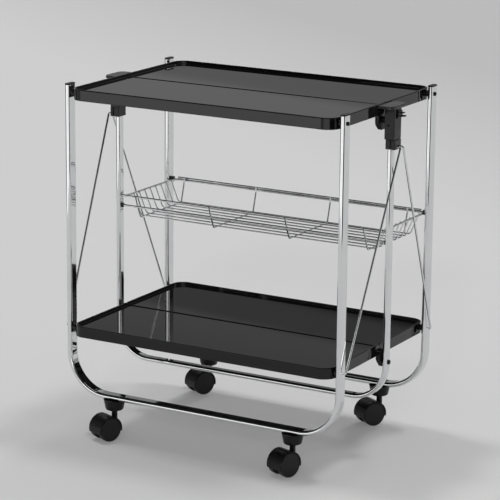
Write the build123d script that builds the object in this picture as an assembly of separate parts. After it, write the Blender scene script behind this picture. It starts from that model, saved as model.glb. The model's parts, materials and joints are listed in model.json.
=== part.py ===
from build123d import *
import os
from math import cos, radians, sin

# Folding serving cart: three bent tube frames, two split trays, a wire basket and swivel casters.
# Millimetres, +X to the right, +Y to the rear, +Z up. The origin is on the floor under the cart's centre.

# Frame layout
leg_spacing = 570.0
leg_depth = 344.0
centre_leg_offset = 4.0
leg_rise = 4.0
outer_run_height = 80.0
centre_run_height = 106.0
outer_bend = 78.0
centre_bend = 66.0

# Flat oval tube: wide across the cart's depth, thin across its width
outer_tube_wide = 24.0
outer_tube_thick = 10.0
centre_tube_wide = 18.0
centre_tube_thick = 9.0
tube_wall = 1.2

# Trays
top_rim = 660.0
bottom_rim = 212.0
tray_end_gap = 5.5
tray_overhang = 21.0
tray_height = 21.0
tray_corner = 26.0
tray_wall = 2.4
rim_width = 3.6
rim_round = 1.2
panel_drop = 5.5
panel_thick = 2.4
seam_gap = 1.6
seam_round = 4.0
seam_wall_height = 11.5
rib_thick = 2.0
rib_lift = 5.0
cross_rib_spacing = 110.0
cross_rib_count = 4
long_rib_spacing = 60.0
long_rib_count = 2

# Fold pivots, measured down from each tray's rim
leg_pivot_drop = 10.0
hinge_drop = 32.0
pivot_block_wide = 16.0
pivot_block_tall = 12.0
pivot_block_deep = 14.0

# Hinge ears: inside the end walls of the top tray, outside the end walls of the bottom tray
top_ear_thick = 7.4
top_ear_reach = 19.0
top_ear_shoulder = 6.7
top_ear_tip = 18.0
top_ear_flat = 6.0
bottom_ear_reach = 14.0
bottom_ear_shoulder = -5.2
bottom_ear_tip = 9.3
bottom_ear_flat = 1.7
bottom_ear_drop = 12.0
bottom_ear_round = 2.0

# Screws, bolts and spacers
pivot_screw_diameter = 5.0
screw_head_diameter = 7.4
screw_head_height = 2.6
screw_head_round = 1.4
hinge_bolt_diameter = 6.0
bolt_head_diameter = 9.0
bolt_head_height = 3.0
bolt_head_round = 1.6
spacer_diameter = 12.0
hinge_washer = 1.2
housing_screw_diameter = 4.0
housing_screw_rise = 26.0

# Handle housings on the centre legs
housing_inside = 8.0
housing_outside = 12.0
housing_deep = 28.0
housing_tall = 58.0
housing_drop = 7.0
housing_round = 1.5
leg_end_drop = 7.0
grip_gap = 0.8
grip_reach = 30.6
grip_long = 61.0
grip_thick = 5.0
grip_corner = 13.0
grip_round = 1.8

# Release levers
lever_drop = 19.0
lever_tall = 13.0
lever_plate = 1.8
lever_rear = 13.0
lever_travel = 5.0
slot_front = 8.5
slot_wide = 6.0
slot_deep = 4.0
rail_thick = 1.4
prong_wide = 8.0
prong_thick = 2.0
prong_rise = 2.0
prong_reach = 8.0
upper_prong_rise = 7.5
upper_prong_reach = 5.0

# Sliding collars and brace rods
collar_inset = 2.0
collar_wide = 19.0
collar_deep = 26.0
collar_tall = 17.0
collar_drop = 0.5
collar_groove = 3.6
collar_groove_inset = 6.0
collar_groove_deep = 2.2
rod_diameter = 4.0
rod_bend = 4.0
rod_top_reach = 7.7
rod_foot_reach = 5.5
rod_top_split = 10.0
rod_top_rise = 4.5

# Wire basket behind the centre frame
rim_wire = 4.0
cross_wire = 3.2
floor_wire = 2.5
basket_rim_height = 423.0
basket_pivot_drop = 19.0
basket_floor_drop = 42.4
basket_overrun = 6.0
basket_side_gap = 5.0
basket_corner = 8.0
basket_wall_lean = 11.0
basket_end_lean = 17.0
floor_wire_bend = 9.0
cross_wire_bend = 5.0
wire_overrun = 2.0
floor_wire_count = 8
floor_wire_first = 21.0
floor_wire_spacing = 19.5
cross_wire_count = 4
cross_wire_spacing = 163.5
cross_wire_shift = -6.0
clip_long = 8.0
clip_thick = 6.0
clip_wall = 0.8
clip_pin_diameter = 5.0
bush_diameter = 9.0
bush_long = 3.0

# Casters
caster_inset = 94.0
wheel_diameter = 45.5
caster_trail = 20.5
caster_half_width = 18.5
caster_body = 14.0
wheel_side_gap = 0.5
wheel_round = 1.5
wheel_dish = 0.5
wheel_dish_rim = 2.5
wheel_face = 3.0
axle_diameter = 6.0
hood_gap = 0.5
hood_wall = 2.0
hood_half_width = 19.0
hood_round = 1.2
hood_front_angle = 193.0
hood_back_angle = -15.0
neck_diameter = 11.0
stem_diameter = 8.0
stem_chamfer = 1.0
stem_in_neck = 17.7
socket_top_diameter = 41.0
socket_bottom_diameter = 33.0
socket_clearance = 7.3
socket_roof = 4.7
socket_round = 4.0
front_left_swivel_angle = 248.0
front_right_swivel_angle = 251.0
rear_left_swivel_angle = 244.0
rear_right_swivel_angle = 239.0

# Caps in the tops of the outer legs
cap_overhang = 0.8
cap_thick = 2.6
cap_round = 1.0
cap_plug = 9.0

# Clearances
running = 0.05
slide_fit = 0.1
side_gap = 0.3
weld_gap = 0.1

# Places worked out from the sizes above
leg_x = leg_spacing / 2
leg_y = leg_depth / 2
leg_top = top_rim + leg_rise
centre_leg_x = leg_x + centre_leg_offset
leg_inner = leg_x - outer_tube_thick / 2
leg_outer = leg_x + outer_tube_thick / 2
centre_inner = centre_leg_x - centre_tube_thick / 2
centre_outer = centre_leg_x + centre_tube_thick / 2
tray_x = leg_inner - tray_end_gap
tray_y = leg_y + tray_overhang
tray_inside = tray_x - tray_wall
panel_under = panel_drop + panel_thick
top_leg_pivot = top_rim - leg_pivot_drop
bottom_leg_pivot = bottom_rim - leg_pivot_drop
top_hinge = top_rim - hinge_drop
bottom_hinge = bottom_rim - hinge_drop
pin_depth = tray_inside - pivot_block_deep
top_ear_inner = tray_inside - top_ear_thick
top_ear_outer = tray_inside - side_gap
top_ear_lap = (top_ear_inner + top_ear_outer) / 2
bottom_ear_inner = tray_x + side_gap
bottom_ear_outer = centre_inner - hinge_washer - side_gap
bottom_ear_lap = (bottom_ear_inner + bottom_ear_outer) / 2
housing_top = top_rim - housing_drop
housing_bottom = housing_top - housing_tall
housing_inner = centre_leg_x - housing_inside
housing_outer = centre_leg_x + housing_outside
housing_screw_height = housing_bottom + housing_screw_rise
leg_end_in_housing = housing_top - leg_end_drop
lever_low = housing_top - lever_drop
collar_top = housing_bottom - collar_drop
collar_bottom = collar_top - collar_tall
collar_inner = housing_inner + collar_inset
collar_outer = collar_inner + collar_wide
rod_top_height = collar_bottom + rod_top_rise
basket_pivot_height = basket_rim_height - basket_pivot_drop
basket_floor = basket_rim_height - basket_floor_drop
basket_rear = leg_y + basket_overrun
basket_half_width = leg_inner - basket_side_gap
double_wire_height = basket_rim_height + rim_wire + weld_gap
clip_height = basket_pivot_height + hinge_drop - leg_pivot_drop
caster_x = leg_x - caster_inset
wheel_radius = wheel_diameter / 2
hood_inner = wheel_radius + hood_gap
hood_outer = hood_inner + hood_wall
socket_top = outer_run_height - outer_tube_thick / 2
socket_bottom = wheel_radius + hood_outer + socket_clearance
socket_height = socket_top - socket_bottom
stem_top = socket_top - socket_roof
neck_high = socket_bottom - side_gap

os.makedirs("parts", exist_ok=True)


def save(name, *pieces):
    solids = [solid for piece in pieces for solid in piece.solids()]
    export_step(Compound(children=solids), f"parts/{name}.step")


def left(piece):
    return mirror(piece, about=Plane.YZ)


def rear(piece):
    return mirror(piece, about=Plane.XZ)


def both_sides(piece):
    return [piece, left(piece)]


def spread(count, spacing):
    middle = sum(range(count)) / count
    return [(number - middle) * spacing for number in range(count)]


def along_x(radius, start, end, y, z):
    return Pos((start + end) / 2, y, z) * Rot(0, 90, 0) * Cylinder(radius, abs(end - start))


def ring_x(outer_radius, inner_radius, start, end, y, z):
    return along_x(outer_radius, start, end, y, z) - along_x(inner_radius, start, end, y, z)


def wire(points, diameter, bend):
    path = FilletPolyline(*points, radius=bend)
    section = Plane(origin=path @ 0, z_dir=path % 0) * Circle(diameter / 2)
    return sweep(section, path=path)


def straight_wire(x_end, diameter, y, z):
    return along_x(diameter / 2, -x_end, x_end, y, z)


# Bent tube frames
def bent_tube(half_span, y, top, run, bend, wide, thick):
    corners = [(-half_span, y, top), (-half_span, y, run), (half_span, y, run), (half_span, y, top)]
    path = FilletPolyline(*corners, radius=bend)
    start = Plane(origin=corners[0], x_dir=(0, 1, 0), z_dir=(0, 0, -1))
    outside = sweep(start * SlotOverall(wide, thick), path=path)
    inside = sweep(start * SlotOverall(wide - 2 * tube_wall, thick - 2 * tube_wall), path=path)
    return outside - inside


def drilled(tube, radius, start, end, y, z):
    for hole in both_sides(along_x(radius, start, end, y, z)):
        tube -= hole
    return tube


def outer_frame():
    tube = bent_tube(leg_x, -leg_y, leg_top, outer_run_height, outer_bend, outer_tube_wide, outer_tube_thick)
    tube = drilled(tube, pivot_screw_diameter / 2 + running, leg_inner, leg_outer, -leg_y, top_leg_pivot)
    return drilled(tube, rod_diameter / 2 + running, leg_inner, leg_outer, -leg_y, bottom_leg_pivot)


def leg_cap():
    flange = Pos(leg_x, -leg_y, leg_top) * extrude(
        SlotOverall(outer_tube_wide + cap_overhang, outer_tube_thick + cap_overhang, rotation=90), cap_thick
    )
    flange = fillet(flange.edges().group_by(Axis.Z)[-1], cap_round)
    plug_wide = outer_tube_wide - 2 * tube_wall - slide_fit
    plug_thick = outer_tube_thick - 2 * tube_wall - slide_fit
    plug = Pos(leg_x, -leg_y, leg_top) * extrude(SlotOverall(plug_wide, plug_thick, rotation=90), -cap_plug)
    return flange + plug


def screw(diameter, head_diameter, head_height, head_round, seat, end, y, z, direction):
    head = along_x(head_diameter / 2, seat, seat + direction * head_height, y, z)
    far_edge = head.edges().filter_by(GeomType.CIRCLE).sort_by(Axis.X)[-1 if direction > 0 else 0]
    head = fillet(far_edge, head_round)
    return head + along_x(diameter / 2, end, seat, y, z)


def pivot_screw():
    return screw(
        pivot_screw_diameter, screw_head_diameter, screw_head_height, screw_head_round,
        leg_outer, pin_depth, -leg_y, top_leg_pivot, 1,
    )


def pivot_spacers():
    inner_end = tray_x + side_gap
    top_ring = ring_x(
        spacer_diameter / 2, pivot_screw_diameter / 2 + running, inner_end, leg_inner, -leg_y, top_leg_pivot
    )
    bottom_ring = ring_x(
        spacer_diameter / 2, rod_diameter / 2 + running, inner_end, leg_inner, -leg_y, bottom_leg_pivot
    )
    return [top_ring, bottom_ring]


def caster_socket():
    cup = Pos(caster_x, -leg_y, (socket_top + socket_bottom) / 2) * Cone(
        socket_bottom_diameter / 2, socket_top_diameter / 2, socket_height
    )
    cup = fillet(cup.edges().group_by(Axis.Z)[0], socket_round)
    bore_top = stem_top + side_gap
    bore = Pos(caster_x, -leg_y, (socket_bottom + bore_top) / 2) * Cylinder(
        stem_diameter / 2 + running, bore_top - socket_bottom
    )
    return cup - bore


front_frame = outer_frame()
rear_frame = rear(front_frame)
rear_frame = drilled(
    rear_frame, clip_pin_diameter / 2 + running, leg_inner, leg_x, leg_y, clip_height
)
save("front_frame", front_frame)
save("rear_frame", rear_frame)
for end_name, place in (("front", lambda piece: piece), ("rear", rear)):
    save(f"{end_name}_leg_caps", *both_sides(place(leg_cap())))
    save(f"{end_name}_pivot_screws", *both_sides(place(pivot_screw())))
    rings = [side for ring in pivot_spacers() for side in both_sides(place(ring))]
    save(f"{end_name}_pivot_spacers", *rings)
    save(f"{end_name}_caster_sockets", *both_sides(place(caster_socket())))


# Split trays
def front_half(inset):
    whole = RectangleRounded(2 * (tray_x - inset), 2 * (tray_y - inset), tray_corner - inset)
    return whole & Pos(0, -tray_y - seam_gap / 2) * Rectangle(4 * tray_x, 2 * tray_y)


def seam_rounding(start, end, height):
    edge = -seam_gap / 2
    corner = Pos((start + end) / 2, edge - seam_round / 2, height - seam_round / 2) * Box(
        end - start, seam_round, seam_round
    )
    return corner - along_x(seam_round, start, end, edge - seam_round, height - seam_round)


def tray_half(rim, pin_diameter):
    base = rim - tray_height
    panel_end = tray_x - rim_width
    shell = Pos(0, 0, base) * extrude(front_half(0), tray_height)
    shell -= Pos(0, 0, rim - panel_drop) * extrude(front_half(rim_width), panel_drop)
    rim_edges = shell.edges().filter_by_position(Axis.Z, rim, rim).filter_by(lambda edge: edge.length > 2 * rim_width)
    shell = fillet(rim_edges, rim_round)
    under = tray_height - panel_under
    hollow = Pos(0, -tray_wall) * front_half(0) & front_half(tray_wall)
    shell -= Pos(0, 0, base) * extrude(hollow, under)
    seam_cut = tray_height - seam_wall_height
    shell -= Pos(0, 0, base + seam_cut / 2) * Box(2 * tray_inside, 2 * (tray_wall + seam_gap), seam_cut)
    shell -= seam_rounding(-panel_end, panel_end, rim - panel_drop)
    for corner in both_sides(seam_rounding(panel_end, tray_x, rim)):
        shell -= corner
    rib_tall = under - rib_lift
    rib_middle = rim - panel_under - rib_tall / 2
    half_reach = tray_y - tray_wall - seam_gap
    for x in spread(cross_rib_count, cross_rib_spacing):
        shell += Pos(x, -seam_gap - half_reach / 2, rib_middle) * Box(rib_thick, half_reach, rib_tall)
    for number in range(long_rib_count):
        y = -(number + 1) * long_rib_spacing
        shell += Pos(0, y, rib_middle) * Box(2 * tray_inside, rib_thick, rib_tall)
    pivot = rim - leg_pivot_drop
    block_low = pivot - pivot_block_tall / 2
    block_tall = rim - panel_under - block_low
    block = Pos(tray_inside - pivot_block_deep / 2, -leg_y, block_low + block_tall / 2) * Box(
        pivot_block_deep, pivot_block_wide, block_tall
    )
    for piece in both_sides(block):
        shell += piece
    return drilled(shell, pin_diameter / 2 + running, pin_depth, tray_x, -leg_y, pivot)


# Each ear is a lug in its own layer on the hinge bolt, with a thicker root clear of the other ear's lug
def ear_cut(reach, shoulder, tip, flat):
    corner = Polygon(
        (0, -tip), (-flat, -tip), (-reach, -shoulder), (-reach, -2 * reach), (0, -2 * reach), align=None
    )
    return corner + mirror(corner, about=Plane.YZ)


def hinge_ear(hinge, top, reach, cut, lap, root):
    lap_start, lap_end = lap
    root_start, root_end = root
    side = seam_gap + tray_wall
    flank = Pos(-(reach + side) / 2, (top - hinge) / 2) * Rectangle(reach - side, top - hinge) - cut
    plane = Plane(origin=(0, 0, hinge), x_dir=(0, 1, 0), z_dir=(1, 0, 0))
    lug = extrude(plane.offset(lap_start) * (Circle(reach) - cut + flank), lap_end - lap_start)
    block = extrude(plane.offset(root_start) * (flank - Circle(reach + side_gap)), root_end - root_start)
    return lug + block - along_x(hinge_bolt_diameter / 2 + running, root_start, root_end, 0, hinge)


def top_ear(lap_start, lap_end):
    cut = ear_cut(top_ear_reach, top_ear_shoulder, top_ear_tip, top_ear_flat)
    top = top_rim - panel_under
    return hinge_ear(
        top_hinge, top, top_ear_reach, cut, (lap_start, lap_end), (top_ear_inner, tray_inside)
    )


def bottom_ear(lap_start, lap_end):
    cut = ear_cut(bottom_ear_reach, bottom_ear_shoulder, bottom_ear_tip, bottom_ear_flat)
    top = bottom_rim - bottom_ear_drop
    ear = hinge_ear(
        bottom_hinge, top, bottom_ear_reach, cut, (lap_start, lap_end), (tray_x, bottom_ear_outer)
    )
    top_edges = ear.edges().group_by(Axis.Z)[-1]
    visible = top_edges.filter_by(Axis.X).sort_by(Axis.Y)[:1] + top_edges.filter_by(Axis.Y).sort_by(Axis.X)[-1:]
    return fillet(visible, bottom_ear_round)


for level, rim, pin in (("top", top_rim, pivot_screw_diameter), ("bottom", bottom_rim, rod_diameter)):
    tray = tray_half(rim, pin)
    save(f"{level}_front_tray", tray)
    save(f"{level}_rear_tray", rear(tray))
save("top_front_hinge_ears", *both_sides(top_ear(top_ear_lap + side_gap / 2, top_ear_outer)))
save("top_rear_hinge_ears", *both_sides(rear(top_ear(top_ear_inner, top_ear_lap - side_gap / 2))))
save("bottom_front_hinge_ears", *both_sides(bottom_ear(bottom_ear_lap + side_gap / 2, bottom_ear_outer)))
save("bottom_rear_hinge_ears", *both_sides(rear(bottom_ear(bottom_ear_inner, bottom_ear_lap - side_gap / 2))))


# Centre frame with its handles
def centre_tube():
    tube = bent_tube(
        centre_leg_x, 0, leg_end_in_housing, centre_run_height, centre_bend, centre_tube_wide, centre_tube_thick
    )
    bolt_hole = hinge_bolt_diameter / 2 + running
    tube = drilled(tube, bolt_hole, centre_inner, centre_leg_x, 0, top_hinge)
    tube = drilled(tube, bolt_hole, centre_inner, centre_outer, 0, bottom_hinge)
    return drilled(tube, rim_wire / 2 + running, centre_inner, centre_leg_x, 0, basket_pivot_height)


def housing():
    body_x = (housing_inner + housing_outer) / 2
    body_wide = housing_outer - housing_inner
    body = Pos(body_x, 0, housing_bottom + housing_tall / 2) * Box(body_wide, housing_deep, housing_tall)
    body = fillet(body.edges().filter_by(Axis.Z), housing_round)
    body = fillet(body.edges().group_by(Axis.Z)[0], rim_round)
    pocket = SlotOverall(centre_tube_wide + 2 * slide_fit, centre_tube_thick + 2 * slide_fit, rotation=90)
    pocket_tall = leg_end_in_housing + side_gap - housing_bottom
    body -= Pos(centre_leg_x, 0, housing_bottom) * extrude(pocket, pocket_tall)
    slot_tall = lever_drop + side_gap
    body -= Pos(housing_outer, slot_wide / 2 - slot_front, housing_top - slot_tall / 2) * Box(
        2 * slot_deep, slot_wide, slot_tall
    )
    body -= along_x(hinge_bolt_diameter / 2 + running, housing_inner, centre_leg_x, 0, top_hinge)
    screw_hole = Pos(centre_leg_x, -housing_deep / 2, housing_screw_height) * Rot(90, 0, 0) * Cylinder(
        housing_screw_diameter / 2 + running, housing_deep - centre_tube_wide
    )
    return body - screw_hole


def housing_screw():
    head_start = -housing_deep / 2
    depth = (housing_deep - centre_tube_wide) / 2 - slide_fit
    return Pos(centre_leg_x, head_start + depth / 2, housing_screw_height) * Rot(90, 0, 0) * Cylinder(
        housing_screw_diameter / 2, depth
    )


def grip():
    start = tray_x + grip_gap
    outline = Pos(start, 0) * Rectangle(grip_reach, grip_long, align=(Align.MIN, Align.CENTER))
    plate = Pos(0, 0, housing_top) * extrude(outline, grip_thick)
    outer_corners = plate.edges().filter_by(Axis.Z).group_by(Axis.X)[-1]
    plate = fillet(outer_corners, grip_corner)
    return fillet(plate.edges().group_by(Axis.Z)[-1], grip_round)


def release_lever():
    face = housing_outer + side_gap
    rail_front = -slot_front + slide_fit
    rail_rear = slot_wide - slot_front - slide_fit
    web_front = rail_rear - rail_thick
    rail_start = housing_outer - slot_deep + slide_fit
    rail_tall = lever_tall - lever_travel
    plate = Pos(face + lever_plate / 2, (web_front + lever_rear) / 2, lever_low + lever_tall / 2) * Box(
        lever_plate, lever_rear - web_front, lever_tall
    )
    web = Pos((rail_start + face + lever_plate) / 2, web_front + rail_thick / 2, lever_low + rail_tall / 2) * Box(
        face + lever_plate - rail_start, rail_thick, rail_tall
    )
    rail = Pos(rail_start + rail_thick / 2, (rail_front + rail_rear) / 2, lever_low + rail_tall / 2) * Box(
        rail_thick, rail_rear - rail_front, rail_tall
    )
    lever = plate + web + rail
    for rise, reach in ((prong_rise, prong_reach), (upper_prong_rise, upper_prong_reach)):
        lever += Pos(face + lever_plate + reach / 2, lever_rear - prong_wide / 2, lever_low + rise + prong_thick / 2) * Box(
            reach, prong_wide, prong_thick
        )
    return lever


def hinge_bolt_from_inside():
    seat = top_ear_inner - side_gap
    return screw(
        hinge_bolt_diameter, bolt_head_diameter, bolt_head_height, bolt_head_round,
        seat, centre_leg_x, 0, top_hinge, -1,
    )


def hinge_bolt_from_outside():
    end = bottom_ear_inner - side_gap
    bolt = screw(
        hinge_bolt_diameter, bolt_head_diameter, bolt_head_height, bolt_head_round,
        centre_outer, end, 0, bottom_hinge, 1,
    )
    return bolt + along_x(bolt_head_diameter / 2, end - bolt_head_height, end, 0, bottom_hinge)


def hinge_spacer(start, end, z):
    return ring_x(spacer_diameter / 2, hinge_bolt_diameter / 2 + running, start, end, 0, z)


save("centre_frame", centre_tube())
save("top_hinge_bolts", *both_sides(hinge_bolt_from_inside()))
save("bottom_hinge_bolts", *both_sides(hinge_bolt_from_outside()))
spacers = [
    hinge_spacer(top_ear_outer + side_gap, housing_inner, top_hinge),
    hinge_spacer(bottom_ear_outer + side_gap, centre_inner, bottom_hinge),
]
save("hinge_spacers", *[side for spacer in spacers for side in both_sides(spacer)])
save("housing_screws", *both_sides(housing_screw()))


# Sliding collars and the rods that brace them to the outer legs
def collar():
    middle = (collar_top + collar_bottom) / 2
    body = Pos((collar_inner + collar_outer) / 2, 0, middle) * Box(collar_wide, collar_deep, collar_tall)
    body = fillet(body.edges().filter_by(Axis.Z), housing_round)
    for end in (-1, 1):
        groove = Pos(collar_outer - collar_groove_inset - collar_groove / 2, end * collar_deep / 2, middle)
        body -= groove * Box(collar_groove, 2 * collar_groove_deep, 2 * collar_tall)
    bore = SlotOverall(centre_tube_wide + 2 * slide_fit, centre_tube_thick + 2 * slide_fit, rotation=90)
    return body - Pos(centre_leg_x, 0, collar_bottom) * extrude(bore, collar_tall)


def brace_rod():
    top_x = collar_outer + side_gap
    points = [
        (top_x, -rod_top_split / 2, rod_top_height),
        (top_x + rod_top_reach, -rod_top_split / 2, rod_top_height),
        (leg_outer + rod_foot_reach, -leg_y, bottom_leg_pivot),
        (pin_depth, -leg_y, bottom_leg_pivot),
    ]
    return wire(points, rod_diameter, rod_bend)


right_pieces = {
    "housing": housing(),
    "grip": grip(),
    "release_lever": release_lever(),
    "collar": collar(),
    "front_brace_rod": brace_rod(),
    "rear_brace_rod": rear(brace_rod()),
}
for name, piece in right_pieces.items():
    save(f"right_{name}", piece)
    save(f"left_{name}", left(piece))


# Wire basket
def rim_loop(diameter):
    start = rim_wire / 2 + weld_gap
    points = [
        (-basket_half_width, start, basket_rim_height),
        (-basket_half_width, basket_rear, basket_rim_height),
        (basket_half_width, basket_rear, basket_rim_height),
        (basket_half_width, start, basket_rim_height),
    ]
    return wire(points, diameter, basket_corner)


def floor_wires():
    height = basket_floor + (cross_wire + floor_wire) / 2 + weld_gap
    end_x = basket_half_width - (rim_wire + floor_wire) / 2 - weld_gap
    top = basket_rim_height + wire_overrun
    wires = []
    for number in range(floor_wire_count):
        y = floor_wire_first + number * floor_wire_spacing
        floor_x = end_x - basket_end_lean
        points = [(-end_x, y, top), (-floor_x, y, height), (floor_x, y, height), (end_x, y, top)]
        wires.append(wire(points, floor_wire, floor_wire_bend))
    return wires


def cross_wires():
    beside = (rim_wire + cross_wire) / 2 + weld_gap
    front_y = beside
    rear_y = basket_rear - beside
    wires = []
    for place in spread(cross_wire_count, cross_wire_spacing):
        x = place + cross_wire_shift
        points = [
            (x, front_y, basket_rim_height + wire_overrun),
            (x, front_y, basket_pivot_height - rim_wire),
            (x, front_y + basket_wall_lean, basket_floor),
            (x, rear_y - basket_wall_lean, basket_floor),
            (x, rear_y, basket_rim_height - rim_wire),
            (x, rear_y, double_wire_height + wire_overrun),
        ]
        wires.append(wire(points, cross_wire, cross_wire_bend))
    return wires


def basket_clip():
    outer_face = leg_inner - side_gap
    low = basket_rim_height - rim_wire / 2 - clip_wall
    high = clip_height + clip_pin_diameter / 2 + clip_wall
    block = Pos(outer_face - clip_thick / 2, leg_y, (low + high) / 2) * Box(clip_thick, clip_long, high - low)
    block = fillet(block.edges().filter_by(Axis.X), rim_round)
    block += along_x(clip_pin_diameter / 2, outer_face, leg_x, leg_y, clip_height)
    return block - rim_loop(rim_wire + 2 * weld_gap)


front_wire = straight_wire(centre_inner - side_gap, rim_wire, 0, basket_rim_height)
pivot_wire = straight_wire(centre_leg_x - running, rim_wire, 0, basket_pivot_height)
double_wire = straight_wire(basket_half_width - basket_corner, rim_wire, basket_rear, double_wire_height)
save("basket_rim", front_wire, pivot_wire, rim_loop(rim_wire), double_wire)
save("basket_floor_wires", *floor_wires())
save("basket_cross_wires", *cross_wires())
save("basket_clips", *both_sides(basket_clip()))
bush = ring_x(
    bush_diameter / 2, rim_wire / 2 + running, centre_inner - bush_long, centre_inner, 0, basket_pivot_height
)
save("basket_bushes", *both_sides(bush))


# Casters, built around the stem with the wheel trailing along +X, then turned to where they point
def hood():
    wheel_plane = Plane.XZ.offset(0) * Pos(caster_trail, wheel_radius)
    open_side = Polygon(
        (0, 0),
        (3 * hood_outer * cos(radians(hood_front_angle)), 3 * hood_outer * sin(radians(hood_front_angle))),
        (0, -4 * hood_outer),
        (3 * hood_outer * cos(radians(hood_back_angle)), 3 * hood_outer * sin(radians(hood_back_angle))),
        align=None,
    )
    fender = Circle(hood_outer) - Circle(hood_inner) - open_side
    core = Circle(hood_outer) - open_side + Circle(axle_diameter)
    body = extrude(wheel_plane * fender, hood_half_width, both=True)
    body = fillet(body.edges().filter_by(GeomType.CIRCLE).group_by(SortBy.RADIUS)[-1], hood_round)
    body += extrude(wheel_plane * core, caster_body / 2, both=True)
    neck_tall = neck_high - wheel_radius
    body += Pos(0, 0, wheel_radius + neck_tall / 2) * Cylinder(neck_diameter / 2, neck_tall)
    axle_hole = Pos(caster_trail, 0, wheel_radius) * Rot(90, 0, 0) * Cylinder(
        axle_diameter / 2 + running, caster_body
    )
    stem_hole = Pos(0, 0, neck_high - stem_in_neck / 2) * Cylinder(stem_diameter / 2 + running, stem_in_neck)
    return body - axle_hole - stem_hole


def caster_pins():
    low = neck_high - stem_in_neck
    stem = Pos(0, 0, (low + stem_top) / 2) * Cylinder(stem_diameter / 2, stem_top - low)
    stem = chamfer(stem.edges().group_by(Axis.Z)[-1], stem_chamfer)
    axle_half = caster_half_width - wheel_face - side_gap
    axle = Pos(caster_trail, 0, wheel_radius) * Rot(90, 0, 0) * Cylinder(axle_diameter / 2, 2 * axle_half)
    return [stem, axle]


def wheel():
    inner = caster_body / 2 + wheel_side_gap
    face = caster_half_width
    dish_radius = wheel_radius - wheel_dish_rim
    bore = axle_diameter / 2 + running
    profile = Polygon(
        (bore, inner), (wheel_radius, inner), (wheel_radius, face), (dish_radius, face),
        (dish_radius - wheel_dish, face - wheel_dish), (0, face - wheel_dish),
        (0, face - wheel_face), (bore, face - wheel_face), align=None,
    )
    tread_corners = profile.vertices().group_by(Axis.X)[-1]
    profile = fillet(tread_corners, wheel_round)
    disc = revolve(Plane.XY * profile, Axis.Y)
    return Pos(caster_trail, 0, wheel_radius) * disc


caster_places = {
    "front_left": (-caster_x, -leg_y, front_left_swivel_angle),
    "front_right": (caster_x, -leg_y, front_right_swivel_angle),
    "rear_left": (-caster_x, leg_y, rear_left_swivel_angle),
    "rear_right": (caster_x, leg_y, rear_right_swivel_angle),
}
near_wheel = wheel()
far_wheel = mirror(near_wheel, about=Plane.XZ)
for corner, (x, y, swivel) in caster_places.items():
    turned = Pos(x, y, 0) * Rot(0, 0, swivel)
    save(f"{corner}_caster_hood", turned * hood())
    save(f"{corner}_caster_pins", *[turned * pin for pin in caster_pins()])
    save(f"{corner}_wheel_left", turned * far_wheel)
    save(f"{corner}_wheel_right", turned * near_wheel)
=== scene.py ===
import json
import math

import bmesh
import bpy
from mathutils import Matrix, Vector


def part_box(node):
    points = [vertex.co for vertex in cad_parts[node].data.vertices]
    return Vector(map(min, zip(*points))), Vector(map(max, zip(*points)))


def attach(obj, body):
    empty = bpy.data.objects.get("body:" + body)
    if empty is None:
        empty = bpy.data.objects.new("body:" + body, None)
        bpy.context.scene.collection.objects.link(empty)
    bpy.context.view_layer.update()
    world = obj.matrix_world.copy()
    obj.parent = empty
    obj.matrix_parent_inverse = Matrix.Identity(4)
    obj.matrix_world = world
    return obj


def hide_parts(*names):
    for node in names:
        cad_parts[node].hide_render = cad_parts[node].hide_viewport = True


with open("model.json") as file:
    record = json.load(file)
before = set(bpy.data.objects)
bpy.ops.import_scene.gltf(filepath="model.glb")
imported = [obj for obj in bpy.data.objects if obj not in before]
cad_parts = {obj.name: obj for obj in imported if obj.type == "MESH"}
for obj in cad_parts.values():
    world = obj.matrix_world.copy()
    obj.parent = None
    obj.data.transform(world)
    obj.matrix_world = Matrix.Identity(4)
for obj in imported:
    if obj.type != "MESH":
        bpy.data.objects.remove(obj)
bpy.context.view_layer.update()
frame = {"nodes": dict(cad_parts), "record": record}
nodes = frame["nodes"]
print("frame loaded:", len(nodes), "nodes")

scene = bpy.context.scene
scene.view_settings.view_transform = "Standard"


# shader helpers
def newMaterial(name, kind="ShaderNodeBsdfPrincipled"):
    material = bpy.data.materials.new(name)
    material.use_nodes = True
    tree = material.node_tree
    tree.nodes.clear()
    output = tree.nodes.new("ShaderNodeOutputMaterial")
    shader = tree.nodes.new(kind)
    tree.links.new(shader.outputs[0], output.inputs["Surface"])
    return material, tree, shader


def addNode(tree, kind, **inputs):
    node = tree.nodes.new(kind)
    for name, value in inputs.items():
        node.inputs[name].default_value = value
    return node


def newGroup(name, inputs, outputs):
    group = bpy.data.node_groups.new(name, "ShaderNodeTree")
    for label, value in inputs.items():
        socket = group.interface.new_socket(label, in_out="INPUT", socket_type="NodeSocketFloat")
        socket.default_value = value
    for label in outputs:
        group.interface.new_socket(label, in_out="OUTPUT", socket_type="NodeSocketFloat")
    return group, group.nodes.new("NodeGroupInput"), group.nodes.new("NodeGroupOutput")


def placeGroup(tree, group, **values):
    node = tree.nodes.new("ShaderNodeGroup")
    node.node_tree = group
    for label, value in values.items():
        node.inputs[label].default_value = value
    return node


def mapRange(tree, source, low, high, outLow, outHigh):
    node = tree.nodes.new("ShaderNodeMapRange")
    tree.links.new(source, node.inputs["Value"])
    for label, value in (("From Min", low), ("From Max", high)):
        node.inputs[label].default_value = value
    for label, value in (("To Min", outLow), ("To Max", outHigh)):
        if isinstance(value, (int, float)):
            node.inputs[label].default_value = value
        else:
            tree.links.new(value, node.inputs[label])
    return node.outputs["Result"]


def distanceAlong(tree, direction):
    place = tree.nodes.new("ShaderNodeTexCoord")
    along = tree.nodes.new("ShaderNodeVectorMath")
    along.operation = "DOT_PRODUCT"
    along.inputs[1].default_value = direction
    tree.links.new(place.outputs["Object"], along.inputs[0])
    return along.outputs["Value"]


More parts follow.
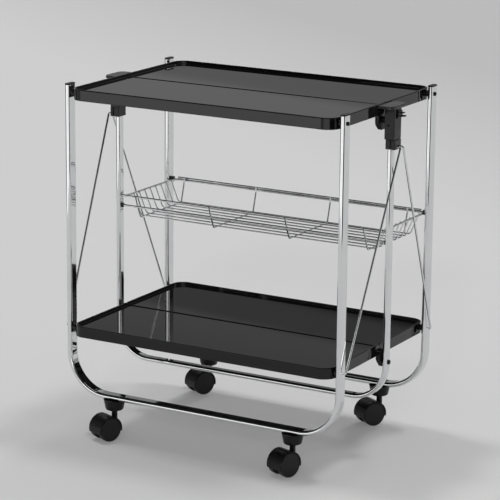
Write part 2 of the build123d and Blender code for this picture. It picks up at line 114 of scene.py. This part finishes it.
def heightOf(tree, output):
    place = tree.nodes.new("ShaderNodeTexCoord")
    split = tree.nodes.new("ShaderNodeSeparateXYZ")
    tree.links.new(place.outputs[output], split.inputs["Vector"])
    return split.outputs["Z"]


def tintedColour(tree, mask, dark, light):
    mix = tree.nodes.new("ShaderNodeMix")
    mix.data_type = "RGBA"
    mix.inputs["A"].default_value = (*dark, 1)
    mix.inputs["B"].default_value = (*light, 1)
    tree.links.new(mask, mix.inputs["Factor"])
    return mix.outputs["Result"]


# cloudy polish: patches of slightly higher roughness, as left by wiping
wipeCloud = {"detail": 5.0, "fade": 0.62, "swirl": 0.4, "cleanBelow": 0.38, "dullAbove": 0.68}


def makeWipeGroup():
    look = wipeCloud
    inputs = {"Scale": 9.0, "Low": 0.05, "High": 0.12}
    group, source, sink = newGroup("wipeMarks", inputs, ["Roughness", "Mask"])
    place = group.nodes.new("ShaderNodeTexCoord")
    cloud = addNode(
        group, "ShaderNodeTexNoise",
        Detail=look["detail"], Roughness=look["fade"], Distortion=look["swirl"],
    )
    group.links.new(place.outputs["Object"], cloud.inputs["Vector"])
    group.links.new(source.outputs["Scale"], cloud.inputs["Scale"])
    mask = mapRange(group, cloud.outputs["Fac"], look["cleanBelow"], look["dullAbove"], 0.0, 1.0)
    rough = mapRange(group, mask, 0.0, 1.0, source.outputs["Low"], source.outputs["High"])
    group.links.new(rough, sink.inputs["Roughness"])
    group.links.new(mask, sink.inputs["Mask"])
    return group


# moulded grain: fine pebbling of injection moulded plastic
grainNoise = {"detail": 2.0, "fade": 0.5, "cellShare": 0.5}


def makeGrainGroup():
    look = grainNoise
    group, source, sink = newGroup("mouldGrain", {"Scale": 1400.0}, ["Height", "Speckle"])
    place = group.nodes.new("ShaderNodeTexCoord")
    fine = addNode(group, "ShaderNodeTexNoise", Detail=look["detail"], Roughness=look["fade"])
    cell = group.nodes.new("ShaderNodeTexVoronoi")
    for texture in (fine, cell):
        group.links.new(place.outputs["Object"], texture.inputs["Vector"])
        group.links.new(source.outputs["Scale"], texture.inputs["Scale"])
    blend = group.nodes.new("ShaderNodeMath")
    blend.operation = "MULTIPLY_ADD"
    blend.inputs[1].default_value = look["cellShare"]
    group.links.new(cell.outputs["Distance"], blend.inputs[0])
    group.links.new(fine.outputs["Fac"], blend.inputs[2])
    group.links.new(blend.outputs[0], sink.inputs["Height"])
    group.links.new(fine.outputs["Fac"], sink.inputs["Speckle"])
    return group


wipeMarks = makeWipeGroup()
mouldGrain = makeGrainGroup()
print("shared effects ready")

chromeLook = {
    "tube": {
        "dark": (0.71, 0.72, 0.735), "light": (0.78, 0.785, 0.79),
        "scale": 11.0, "low": 0.035, "high": 0.075,
    },
    "wire": {
        "dark": (0.68, 0.69, 0.7), "light": (0.77, 0.775, 0.78),
        "scale": 60.0, "low": 0.05, "high": 0.1,
    },
    "pin": {
        "dark": (0.46, 0.46, 0.47), "light": (0.6, 0.6, 0.61),
        "scale": 180.0, "low": 0.22, "high": 0.38,
    },
}


def chromeMaterial(name, look):
    material, tree, shader = newMaterial(name)
    shader.inputs["Metallic"].default_value = 1.0
    marks = placeGroup(tree, wipeMarks, Scale=look["scale"], Low=look["low"], High=look["high"])
    colour = tintedColour(tree, marks.outputs["Mask"], look["light"], look["dark"])
    tree.links.new(marks.outputs["Roughness"], shader.inputs["Roughness"])
    tree.links.new(colour, shader.inputs["Base Color"])
    return material


plasticLook = {
    "trayGloss": {
        "dark": (0.003, 0.003, 0.0033), "light": (0.006, 0.006, 0.0063), "specular": 0.36,
        "wipe": 7.0, "low": 0.015, "high": 0.05, "matteBelow": -0.7, "glossAbove": -0.4, "mouldRough": 1.0,
        "grain": 420.0, "bump": 0.006, "depth": 0.0002, "edge": 0.0024,
    },
    "blackSatin": {
        "dark": (0.010, 0.010, 0.011), "light": (0.018, 0.018, 0.019), "specular": 0.36,
        "wipe": 30.0, "low": 0.27, "high": 0.4,
        "grain": 1500.0, "bump": 0.12, "depth": 0.0002, "edge": 0.0007,
    },
    "casterNylon": {
        "dark": (0.007, 0.007, 0.0075), "light": (0.014, 0.014, 0.0145), "specular": 0.32,
        "wipe": 45.0, "low": 0.3, "high": 0.45,
        "grain": 1100.0, "bump": 0.1, "depth": 0.0002, "edge": 0.0006,
    },
    # the caster hoods' own darker gloss, also put on the hinge ears as partly painted shade
    "hoodGloss": {
        "dark": (0.004, 0.004, 0.0043), "light": (0.008, 0.008, 0.0083), "specular": 0.25,
        "wipe": 40.0, "low": 0.22, "high": 0.34,
        "grain": 900.0, "bump": 0.05, "depth": 0.0002, "edge": 0.0006,
    },
    # the grips' glossier finish, lighter in colour as a partly painted sheen
    "gripSatinAndSheen": {
        "dark": (0.022, 0.022, 0.023), "light": (0.036, 0.036, 0.037), "specular": 0.5,
        "wipe": 35.0, "low": 0.18, "high": 0.3,
        "grain": 1300.0, "bump": 0.08, "depth": 0.0002, "edge": 0.0007,
    },
    "sunkScrew": {
        "dark": (0.001, 0.001, 0.0011), "light": (0.003, 0.003, 0.0032), "specular": 0.05,
        "wipe": 160.0, "low": 0.5, "high": 0.65,
        "grain": 2600.0, "bump": 0.08, "depth": 0.0001, "edge": 0.0003,
    },
    "blackScrew": {
        "dark": (0.002, 0.002, 0.0022), "light": (0.006, 0.006, 0.0063), "specular": 0.15,
        "wipe": 160.0, "low": 0.3, "high": 0.45,
        "grain": 2600.0, "bump": 0.08, "depth": 0.0001, "edge": 0.0003,
    },
}
edgeRays = 6  # samples of every rounded edge


def plasticMaterial(name):
    look = plasticLook[name]
    material, tree, shader = newMaterial(name)
    shader.inputs["Specular IOR Level"].default_value = look["specular"]
    marks = placeGroup(tree, wipeMarks, Scale=look["wipe"], Low=look["low"], High=look["high"])
    grain = placeGroup(tree, mouldGrain, Scale=look["grain"])
    rough = marks.outputs["Roughness"]
    if "matteBelow" in look:  # the underside is left as it comes from the mould
        facing = heightOf(tree, "Normal")
        rough = mapRange(tree, facing, look["matteBelow"], look["glossAbove"], look["mouldRough"], rough)
    colour = tintedColour(tree, grain.outputs["Speckle"], look["dark"], look["light"])
    bump = addNode(tree, "ShaderNodeBump", Strength=look["bump"], Distance=look["depth"])
    softEdge = addNode(tree, "ShaderNodeBevel", Radius=look["edge"])
    softEdge.samples = edgeRays
    tree.links.new(rough, shader.inputs["Roughness"])
    tree.links.new(colour, shader.inputs["Base Color"])
    tree.links.new(grain.outputs["Height"], bump.inputs["Height"])
    tree.links.new(softEdge.outputs["Normal"], bump.inputs["Normal"])
    tree.links.new(bump.outputs["Normal"], shader.inputs["Normal"])
    return material


finishes = {
    "chrome_tube": chromeMaterial("chromeTube", chromeLook["tube"]),
    "chrome_wire": chromeMaterial("chromeWire", chromeLook["wire"]),
    "tray_black": plasticMaterial("trayGloss"),
    "black_plastic": plasticMaterial("blackSatin"),
    "wheel_black": plasticMaterial("casterNylon"),
    "black_screw": plasticMaterial("blackScrew"),
    "steel_pin": chromeMaterial("pinSteel", chromeLook["pin"]),
}
slotOf = {part["node"]: part["material_slot"] for part in frame["record"]["subparts"]}
# pieces that look different from the rest of their slot, by the ends of their names; on the hinge ears the
# darker hood finish is partly painted shade
hoodGlossAndShade = plasticMaterial("hoodGloss")
surfaceOf = {
    "caster_hood": hoodGlossAndShade, "caster_sockets": hoodGlossAndShade,
    "hinge_ears": hoodGlossAndShade, "release_lever": hoodGlossAndShade,
    # the grips' lighter colour is partly a painted sheen
    "grip": plasticMaterial("gripSatinAndSheen"), "housing_screws": plasticMaterial("sunkScrew"),
}
for name, node in nodes.items():
    special = [finish for ending, finish in surfaceOf.items() if name.endswith(ending)]
    node.data.materials.clear()
    node.data.materials.append(special[0] if special else finishes[slotOf[name]])
print("finishes:", len(finishes))


# wire basket: cross wires pass behind the pivot wire and in front of the front rim wire
crossWireLook = {
    "thick": 0.0032, "pivotAbove": 0.0234, "rimAbove": 0.0424, "over": 0.0015, "lean": 0.011,
    "bend": 0.005, "bendSteps": 6, "rearBelow": 0.004, "sides": 4,
}
beadLook = {
    "wide": 0.0018, "tall": 0.0008, "uneven": 0.14, "phase": 2.3,
    "wireGap": 0.004, "rounds": 2, "rimStep": 0.0041,
}


def wireCentres(name, axis):
    places = sorted(vertex.co[axis] for vertex in nodes[name].data.vertices)
    starts = [0]
    for i in range(1, len(places)):
        if places[i] - places[i - 1] > beadLook["wireGap"]:
            starts.append(i)
    ends = starts[1:] + [len(places)]
    return [(places[first] + places[last - 1]) / 2 for first, last in zip(starts, ends)]


def basketPlan():
    low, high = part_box("basket_cross_wires")
    radius = crossWireLook["thick"] / 2
    floorZ = low.z + radius
    return {
        "crossX": wireCentres("basket_cross_wires", 0), "floorY": wireCentres("basket_floor_wires", 1),
        "radius": radius, "frontY": low.y + radius, "rearY": high.y - radius,
        "floorZ": floorZ, "topZ": high.z,
        "pivotZ": floorZ + crossWireLook["pivotAbove"], "rimZ": floorZ + crossWireLook["rimAbove"],
    }


def roundedPath(corners, bend, steps):
    path = [corners[0]]
    for before, corner, after in zip(corners, corners[1:], corners[2:]):
        first = corner + (before - corner).normalized() * bend
        last = corner + (after - corner).normalized() * bend
        for step in range(steps + 1):
            share = step / steps
            path.append(first.lerp(corner, share).lerp(corner.lerp(last, share), share))
    return path + [corners[-1]]


def makeCrossWires(plan):
    look = crossWireLook
    frontTop = plan["rimZ"] + look["over"]
    # one slant, as far in front of the rim wire as it is behind the pivot wire
    slant = 2 * plan["frontY"] / (plan["rimZ"] - plan["pivotZ"])
    curve = bpy.data.curves.new("basketCrossWires", "CURVE")
    curve.dimensions = "3D"
    curve.bevel_depth = plan["radius"]
    curve.bevel_resolution = look["sides"]
    curve.use_fill_caps = True
    outline = [
        (plan["frontY"] - slant * (frontTop - plan["pivotZ"]), frontTop),
        (plan["frontY"], plan["pivotZ"]),
        (plan["frontY"] + look["lean"], plan["floorZ"]),
        (plan["rearY"] - look["lean"], plan["floorZ"]),
        (plan["rearY"], plan["rimZ"] - look["rearBelow"]),
        (plan["rearY"], plan["topZ"]),
    ]
    for x in plan["crossX"]:
        path = roundedPath([Vector((x, y, z)) for y, z in outline], look["bend"], look["bendSteps"])
        spline = curve.splines.new("POLY")
        spline.points.add(len(path) - 1)
        for point, place in zip(spline.points, path):
            point.co = (*place, 1)
    curve.materials.append(finishes["chrome_wire"])
    wires = bpy.data.objects.new("basketCrossWires", curve)
    scene.collection.objects.link(wires)
    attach(wires, "basket")
    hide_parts("basket_cross_wires")
    print("cross wires:", len(curve.splines))


# a bead wherever two wires touch, flat across the touching sides
def beadSpots(plan):
    floorLow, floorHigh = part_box("basket_floor_wires")
    wide, tall = beadLook["wide"], beadLook["tall"]
    behindPivot = plan["frontY"] - plan["radius"]
    rearTouch = plan["rearY"] + plan["radius"]
    spots = []
    for x in plan["crossX"]:
        spots += [((x, y, floorLow.z), (wide, wide, tall)) for y in plan["floorY"]]
        for y, z in (
            (behindPivot, plan["pivotZ"]), (-behindPivot, plan["rimZ"]),
            (rearTouch, plan["rimZ"]), (rearTouch, plan["rimZ"] + beadLook["rimStep"]),
        ):
            spots.append(((x, y, z), (wide, tall, wide)))
    for y in plan["floorY"]:
        spots += [((x, y, plan["rimZ"]), (tall, wide, wide)) for x in (floorLow.x, floorHigh.x)]
    return spots


def makeWeldBeads(plan):
    shape = bmesh.new()
    spots = beadSpots(plan)
    for number, (place, size) in enumerate(spots):
        swell = 1 + beadLook["uneven"] * math.sin(beadLook["phase"] * number)
        fit = Matrix.LocRotScale(Vector(place), None, Vector(size) * swell)
        bmesh.ops.create_icosphere(shape, subdivisions=beadLook["rounds"], radius=1.0, matrix=fit)
    for face in shape.faces:
        face.smooth = True
    mesh = bpy.data.meshes.new("basketWelds")
    shape.to_mesh(mesh)
    shape.free()
    mesh.materials.append(finishes["chrome_wire"])
    welds = bpy.data.objects.new("basketWelds", mesh)
    scene.collection.objects.link(welds)
    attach(welds, "basket")
    print("weld beads:", len(spots))


wirePlan = basketPlan()
makeCrossWires(wirePlan)
makeWeldBeads(wirePlan)


# studio: pale floor, lamps overhead, behind and near the camera, cards that only reflections see
def makeFlat(name, corners, material):
    mesh = bpy.data.meshes.new(name)
    mesh.from_pydata(corners, [], [(0, 1, 2, 3)])
    mesh.materials.append(material)
    piece = bpy.data.objects.new(name, mesh)
    scene.collection.objects.link(piece)
    return piece


def seenInReflectionsOnly(piece):
    piece.visible_camera = False
    piece.visible_diffuse = False
    piece.visible_shadow = False
    piece.visible_transmission = False


floorLook = {
    "size": 60.0, "rough": 0.9, "specular": 0.1, "pale": (0.66, 0.66, 0.66), "paintedShadeTone": (0.5, 0.5, 0.5),
    "shadeAlong": (1.24, 1.86, 0), "shadeFrom": 2.8, "shadeTo": 5.8, "shadeInGloss": 0.0,
    "glowShare": 0.22, "glowTone": 0.61,
}


def makeFloor():
    look = floorLook
    material, tree, shader = newMaterial("paleFloor")
    shader.inputs["Roughness"].default_value = look["rough"]
    shader.inputs["Specular IOR Level"].default_value = look["specular"]
    paths = tree.nodes.new("ShaderNodeLightPath")
    # painted shade: the floor's colour is a little darker far off on the right, but not in reflections
    across = distanceAlong(tree, look["shadeAlong"])
    depth = mapRange(tree, paths.outputs["Is Glossy Ray"], 0.0, 1.0, 1.0, look["shadeInGloss"])
    far = mapRange(tree, across, look["shadeFrom"], look["shadeTo"], 0.0, depth)
    tree.links.new(tintedColour(tree, far, look["pale"], look["paintedShadeTone"]), shader.inputs["Base Color"])
    # painted light: a part of the floor's tone glows evenly for the camera and in reflections, so the
    # shadow stays light
    tone = look["glowTone"]
    paintedGlow = addNode(tree, "ShaderNodeEmission", Color=(tone, tone, tone, 1))
    seen = paths.outputs["Is Camera Ray"]
    for label in ("Is Glossy Ray", "Is Transmission Ray"):
        either = tree.nodes.new("ShaderNodeMath")
        either.operation = "MAXIMUM"
        tree.links.new(seen, either.inputs[0])
        tree.links.new(paths.outputs[label], either.inputs[1])
        seen = either.outputs[0]
    blend = tree.nodes.new("ShaderNodeMixShader")
    tree.links.new(mapRange(tree, seen, 0.0, 1.0, 0.0, look["glowShare"]), blend.inputs["Fac"])
    tree.links.new(shader.outputs["BSDF"], blend.inputs[1])
    tree.links.new(paintedGlow.outputs["Emission"], blend.inputs[2])
    output = next(node for node in tree.nodes if node.type == "OUTPUT_MATERIAL")
    tree.links.new(blend.outputs["Shader"], output.inputs["Surface"])
    half = look["size"] / 2
    corners = [(-half, -half, 0), (half, -half, 0), (half, half, 0), (-half, half, 0)]
    floor = makeFlat("floor", corners, material)


# painted reflection: the far wall of the room is a glowing sheet that only reflections see, darker low
# down
glowingBackWall = {
    "place": 1.45, "left": -3.2, "right": 2.4, "low": 0.46, "high": 1.7, "lean": 0.045,
    "glow": [
        (0.55, 0.01), (0.62, 0.02), (0.645, 0.135), (0.705, 0.145), (0.725, 0.23),
        (0.82, 0.21), (0.95, 0.225), (0.98, 0.235), (0.995, 0.315), (1.7, 0.4),
    ],
}


def makeGlowingBackWall():
    look = glowingBackWall
    material, tree, glow = newMaterial("glowingBackWall", "ShaderNodeEmission")
    height = distanceAlong(tree, (-look["lean"], 0, 1))
    rise = mapRange(tree, height, look["low"], look["high"], 0.0, 1.0)
    ramp = tree.nodes.new("ShaderNodeValToRGB")
    tree.links.new(rise, ramp.inputs["Fac"])
    tree.links.new(ramp.outputs["Color"], glow.inputs["Color"])
    stops = ramp.color_ramp.elements
    while len(stops) < len(look["glow"]):
        stops.new(0.5)
    for stop, (level, tone) in zip(stops, look["glow"]):
        stop.position = (level - look["low"]) / (look["high"] - look["low"])
        stop.color = (tone, tone, tone, 1)
    corners = [(x, look["place"], z) for x, z in (
        (look["left"], look["low"]), (look["right"], look["low"]),
        (look["right"], look["high"]), (look["left"], look["high"]),
    )]
    seenInReflectionsOnly(makeFlat("glowingBackWall", corners, material))


# level cards lie flat, and firstGlow is the share of the glow left in a first reflection
cards = {
    "paleCard": {"azimuth": -28.0, "distance": 2.1, "wide": 0.95, "low": 0.0, "tall": 0.62, "glow": 1.7},
    "whiteCard": {"azimuth": 22.0, "distance": 2.1, "wide": 1.5, "low": 0.0, "tall": 0.45, "glow": 1.3},
    "darkCard": {"azimuth": 62.0, "distance": 2.1, "wide": 1.3, "low": 0.0, "tall": 0.45, "glow": 0.02},
    "leftDark": {"azimuth": -105.0, "distance": 2.1, "wide": 3.0, "low": 0.0, "tall": 0.45, "glow": 0.2},
    "frontDark": {"azimuth": 0.0, "distance": 1.65, "wide": 4.0, "low": 0.5, "tall": 1.4, "glow": 0.03},
    "overhead": {
        "azimuth": 0.0, "distance": 0.0, "wide": 1.8, "low": 2.7, "tall": 1.8, "glow": 1.1,
        "level": True,
    },
    "softStrip": {
        "azimuth": 27.0, "distance": 1.5, "wide": 1.3, "low": 0.5, "tall": 0.5, "glow": 2.8,
        "firstGlow": 0.03,
    },
    "softSide": {
        "azimuth": 134.0, "distance": 1.5, "wide": 0.5, "low": 0.5, "tall": 0.6, "glow": 3.5,
        "firstGlow": 0.03,
    },
}


def makeCard(name, look):
    turn = math.radians(look["azimuth"])
    away = Vector((math.sin(turn), -math.cos(turn), 0))
    along = Vector((math.cos(turn), math.sin(turn), 0))
    middle = away * look["distance"] + Vector((0, 0, look["low"]))
    half = along * look["wide"] / 2
    top = Vector((0, 0, look["tall"]))
    if look.get("level"):
        top = away * look["tall"]
        middle = middle - top / 2
    corners = [middle - half, middle + half, middle + half + top, middle - half + top]
    material, tree, glow = newMaterial(name, "ShaderNodeEmission")
    glow.inputs["Color"].default_value = (look["glow"], look["glow"], look["glow"], 1)
    if "firstGlow" in look:  # lights the legs as the trays mirror them, not the trays themselves
        paths = tree.nodes.new("ShaderNodeLightPath")
        deep = mapRange(tree, paths.outputs["Glossy Depth"], 1.0, 2.0, look["firstGlow"], 1.0)
        tree.links.new(deep, glow.inputs["Strength"])
    seenInReflectionsOnly(makeFlat(name, corners, material))


lamps = {
    "overRight": {"from": (0.226, 0.22, 1.0), "strength": 0.77, "spread": 10.0},
    "overLeft": {"from": (-0.3, 0.04, 1.0), "strength": 0.78, "spread": 8.0},
    "nearCamera": {"from": (0.66, -1.78, 1.0), "strength": 0.3, "spread": 5.0},
    "fromBehind": {"from": (0.0, 1.9, 1.0), "strength": 0.68, "spread": 8.0},
}


def makeLamp(name, look):
    lamp = bpy.data.lights.new(name, "SUN")
    lamp.energy = look["strength"]
    lamp.angle = math.radians(look["spread"])
    holder = bpy.data.objects.new(name, lamp)
    holder.rotation_euler = Vector(look["from"]).to_track_quat("Z", "Y").to_euler()
    holder.visible_glossy = False
    scene.collection.objects.link(holder)


cameraView = {
    "azimuth": 29.853, "elevation": 13.99, "roll": 0.5555, "farClip": 200.0,
    "distance": 4.38853, "target": (0, 0, 0.352), "lens": 169.1, "sensor": 36.0,
}


def makeCamera():
    turn = math.radians(cameraView["azimuth"])
    rise = math.radians(cameraView["elevation"])
    roll = math.radians(cameraView["roll"])
    back = Vector((math.sin(turn) * math.cos(rise), -math.cos(turn) * math.cos(rise), math.sin(rise)))
    right = back.cross(Vector((0, 0, -1))).normalized()
    up = back.cross(right)
    rolledRight = math.cos(roll) * right + math.sin(roll) * up
    rolledUp = math.cos(roll) * up - math.sin(roll) * right
    camera = bpy.data.objects.new("camera", bpy.data.cameras.new("camera"))
    camera.data.lens = cameraView["lens"]
    camera.data.sensor_width = cameraView["sensor"]
    camera.data.clip_end = cameraView["farClip"]
    axes = Matrix((rolledRight, rolledUp, back)).transposed().to_4x4()
    place = Vector(cameraView["target"]) + back * cameraView["distance"]
    camera.matrix_world = Matrix.Translation(place) @ axes
    scene.collection.objects.link(camera)
    scene.camera = camera


# the room's light, and what reflections see of it
roomLight = {
    "horizon": 0.6, "zenith": 0.2,
    "glossLow": 0.3, "glossHigh": 0.02, "glossFrom": 0.2, "glossTo": 0.65,
}


def makeWorld():
    look = roomLight
    world = bpy.data.worlds.new("studioRoom")
    world.use_nodes = True
    tree = world.node_tree
    backdrop = tree.nodes["Background"]
    backdrop.inputs["Color"].default_value = (1, 1, 1, 1)
    height = heightOf(tree, "Generated")
    light = mapRange(tree, height, 0.0, 1.0, look["horizon"], look["zenith"])
    gloss = mapRange(tree, height, look["glossFrom"], look["glossTo"], look["glossLow"], look["glossHigh"])
    paths = tree.nodes.new("ShaderNodeLightPath")
    level = mapRange(tree, paths.outputs["Is Glossy Ray"], 0.0, 1.0, light, gloss)
    tree.links.new(level, backdrop.inputs["Strength"])
    scene.world = world


makeFloor()
makeGlowingBackWall()
for name, look in cards.items():
    makeCard(name, look)
for name, look in lamps.items():
    makeLamp(name, look)
makeCamera()
makeWorld()
print("studio ready")
